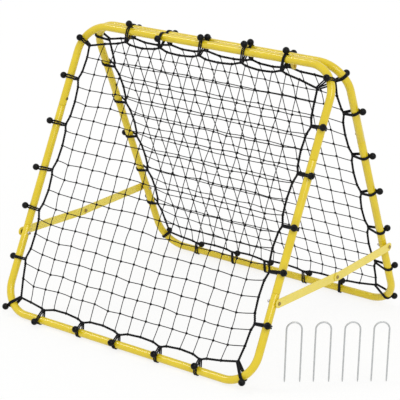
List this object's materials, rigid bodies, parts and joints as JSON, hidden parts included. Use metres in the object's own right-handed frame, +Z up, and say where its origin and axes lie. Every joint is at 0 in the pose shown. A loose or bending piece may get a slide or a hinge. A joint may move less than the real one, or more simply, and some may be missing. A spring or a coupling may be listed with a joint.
{
  "type": "pitch back rebounder",
  "caption": "Folding A-frame ball rebounder: two hinged round-tube frames with square-mesh nets held by ball bungees, folding stays and loose ground stakes.",
  "frame": {"origin": "on the ground, in the middle between the bottom rails of the two frames", "axes": "+X to the right seen from the front frame, +Y from the front frame to the rear frame, +Z up"},
  "size_m": [1.2811, 0.9255, 0.9391],
  "materials": {
    "yellow_tube_coat": "satin",
    "yellow_bar_coat": "satin",
    "zinc_steel": "satin",
    "galvanised_wire": "satin",
    "black_plastic": "matte",
    "black_ball": "satin",
    "black_elastic": "matte",
    "black_rope": "matte",
    "black_twine": "matte"
  },
  "bodies": {
    "front_frame": {"front_bottom_bungee_balls": "black_ball", "front_bottom_bungee_cords": "black_elastic", "front_bottom_rail_tube": "yellow_tube_coat", "front_corner_bungee_balls": "black_ball", "front_corner_bungee_cords": "black_elastic", "front_hinge_ears": "yellow_tube_coat", "front_joint_screws": "zinc_steel", "front_left_bungee_balls": "black_ball", "front_left_bungee_cords": "black_elastic", "front_left_leg_tube": "yellow_tube_coat", "front_net_border": "black_rope", "front_net_level_strands": "black_twine", "front_net_upright_strands": "black_twine", "front_right_bungee_balls": "black_ball", "front_right_bungee_cords": "black_elastic", "front_right_leg_tube": "yellow_tube_coat", "front_stay_bolts": "zinc_steel", "front_stay_nuts": "zinc_steel", "front_stay_spacers": "black_plastic", "front_top_bungee_balls": "black_ball", "front_top_bungee_cords": "black_elastic", "front_top_rail_tube": "yellow_tube_coat", "hinge_bolts": "zinc_steel", "hinge_nuts": "zinc_steel"},
    "rear_frame": {"rear_bottom_bungee_balls": "black_ball", "rear_bottom_bungee_cords": "black_elastic", "rear_bottom_rail_tube": "yellow_tube_coat", "rear_corner_bungee_balls": "black_ball", "rear_corner_bungee_cords": "black_elastic", "rear_hinge_ears": "yellow_tube_coat", "rear_joint_screws": "zinc_steel", "rear_left_bungee_balls": "black_ball", "rear_left_bungee_cords": "black_elastic", "rear_left_leg_tube": "yellow_tube_coat", "rear_net_border": "black_rope", "rear_net_level_strands": "black_twine", "rear_net_upright_strands": "black_twine", "rear_right_bungee_balls": "black_ball", "rear_right_bungee_cords": "black_elastic", "rear_right_leg_tube": "yellow_tube_coat", "rear_stay_bolts": "zinc_steel", "rear_stay_nuts": "zinc_steel", "rear_stay_spacers": "black_plastic", "rear_top_bungee_balls": "black_ball", "rear_top_bungee_cords": "black_elastic", "rear_top_rail_tube": "yellow_tube_coat"},
    "left_front_stay": {"left_front_stay_bar": "yellow_bar_coat", "left_middle_pivot_nut": "zinc_steel"},
    "left_rear_stay": {"left_rear_stay_bar": "yellow_bar_coat", "left_middle_pivot_bolt": "zinc_steel"},
    "right_front_stay": {"right_front_stay_bar": "yellow_bar_coat", "right_middle_pivot_nut": "zinc_steel"},
    "right_rear_stay": {"right_rear_stay_bar": "yellow_bar_coat", "right_middle_pivot_bolt": "zinc_steel"},
    "stake_1": {"ground_stake_1": "galvanised_wire"},
    "stake_2": {"ground_stake_2": "galvanised_wire"},
    "stake_3": {"ground_stake_3": "galvanised_wire"},
    "stake_4": {"ground_stake_4": "galvanised_wire"}
  },
  "joints": [
    {"name": "frame_fold", "type": "hinge", "parent": "front_frame", "child": "rear_frame", "pos_m": [0, 0, 0.87833], "axis": [-1, 0, 0], "range_deg": [0, 50]},
    {"name": "left_front_stay_turn", "type": "hinge", "parent": "front_frame", "child": "left_front_stay", "pos_m": [-0.506, -0.32266, 0.25145], "axis": [1, 0, 0], "range_deg": [0, 61.89]},
    {"name": "left_rear_stay_turn", "type": "hinge", "parent": "rear_frame", "child": "left_rear_stay", "pos_m": [-0.506, 0.32266, 0.25145], "axis": [-1, 0, 0], "range_deg": [0, 61.89]},
    {"name": "right_front_stay_turn", "type": "hinge", "parent": "front_frame", "child": "right_front_stay", "pos_m": [0.506, -0.32266, 0.25145], "axis": [1, 0, 0], "range_deg": [0, 61.89]},
    {"name": "right_rear_stay_turn", "type": "hinge", "parent": "rear_frame", "child": "right_rear_stay", "pos_m": [0.506, 0.32266, 0.25145], "axis": [-1, 0, 0], "range_deg": [0, 61.89]},
    {"name": "stake_1_lift", "type": "slide", "parent": "front_frame", "child": "stake_1", "axis": [0, 0, 1], "range_m": [0, 0.1]},
    {"name": "stake_2_lift", "type": "slide", "parent": "front_frame", "child": "stake_2", "axis": [0, 0, 1], "range_m": [0, 0.1]},
    {"name": "stake_3_lift", "type": "slide", "parent": "front_frame", "child": "stake_3", "axis": [0, 0, 1], "range_m": [0, 0.1]},
    {"name": "stake_4_lift", "type": "slide", "parent": "front_frame", "child": "stake_4", "axis": [0, 0, 1], "range_m": [0, 0.1]}
  ],
  "couplings": [
    {"joint": "left_front_stay_turn", "follows": "frame_fold", "ratio": 1.2378},
    {"joint": "left_rear_stay_turn", "follows": "frame_fold", "ratio": 1.2378},
    {"joint": "right_front_stay_turn", "follows": "frame_fold", "ratio": 1.2378},
    {"joint": "right_rear_stay_turn", "follows": "frame_fold", "ratio": 1.2378}
  ]
}
